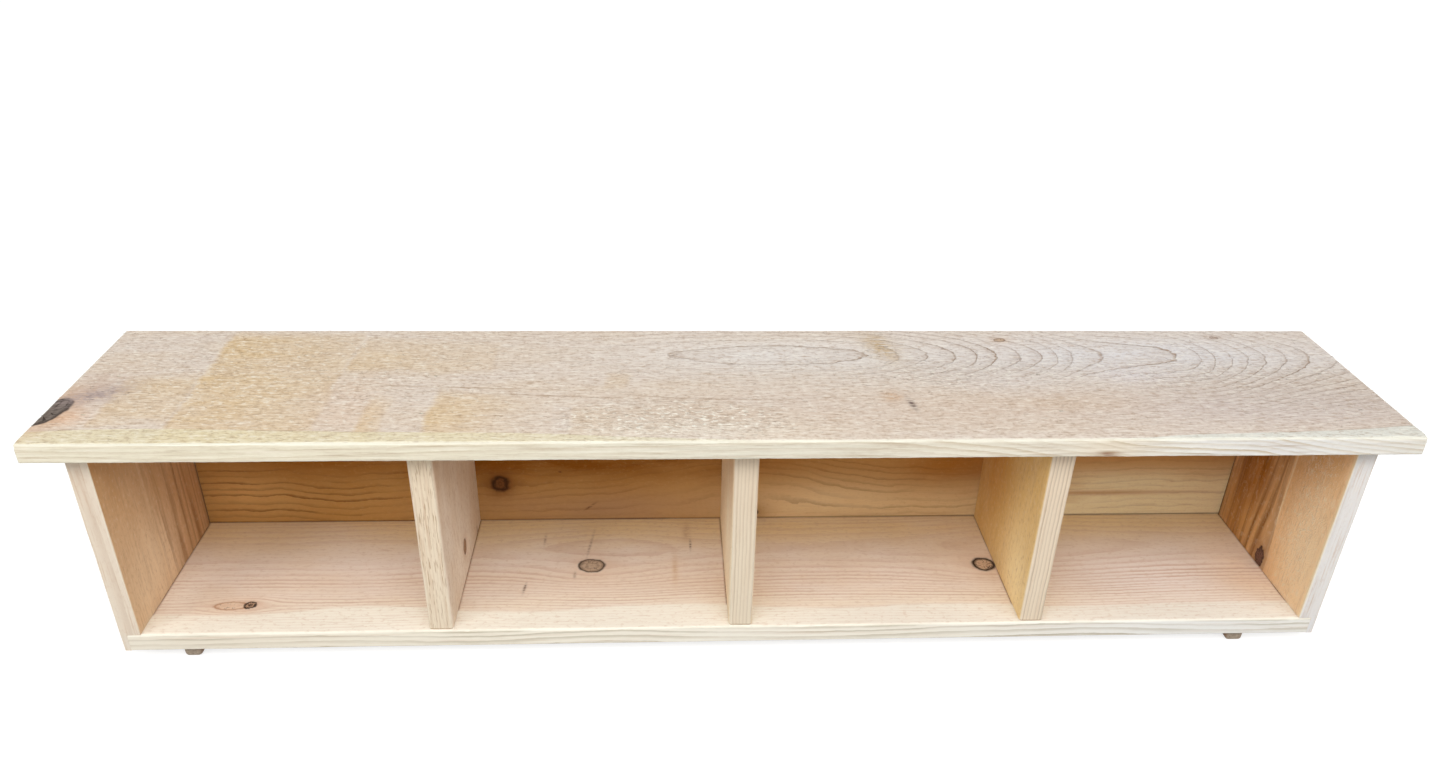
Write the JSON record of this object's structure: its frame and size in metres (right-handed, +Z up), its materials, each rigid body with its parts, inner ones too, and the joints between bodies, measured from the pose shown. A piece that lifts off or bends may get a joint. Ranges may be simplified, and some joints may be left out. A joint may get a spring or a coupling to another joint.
{
  "type": "cube storage unit",
  "caption": "Low open-front wooden storage unit: a row of bays under one thick overhanging plank top, nailed from rough-sawn softwood boards and standing on two runners",
  "frame": {"origin": "on the floor under the middle of the top board, which is the middle of the part's box", "axes": "+X along the unit to the right as seen from the open front, +Y to the back, +Z up"},
  "size_m": [1.59, 0.285, 0.336],
  "materials": {
    "top_wood": "rough-sawn, bare",
    "side_wood": "rough-sawn, bare",
    "bottom_wood": "planed, bare",
    "back_wood": "planed, bare",
    "divider_wood": "planed, bare",
    "runner_wood": "weathered, bare",
    "nail_steel": "bright, lightly tarnished",
    "screw_steel": "zinc plated"
  },
  "bodies": {
    "root": {"top_board": "top_wood", "left_side": "side_wood", "right_side": "side_wood", "bottom_board": "bottom_wood", "back_board": "back_wood", "left_divider": "divider_wood", "centre_divider": "divider_wood", "right_divider": "divider_wood", "left_runner": "runner_wood", "right_runner": "runner_wood", "top_nails": "nail_steel", "bottom_nails": "nail_steel", "back_nails": "nail_steel", "runner_screws": "screw_steel"}
  },
  "joints": []
}
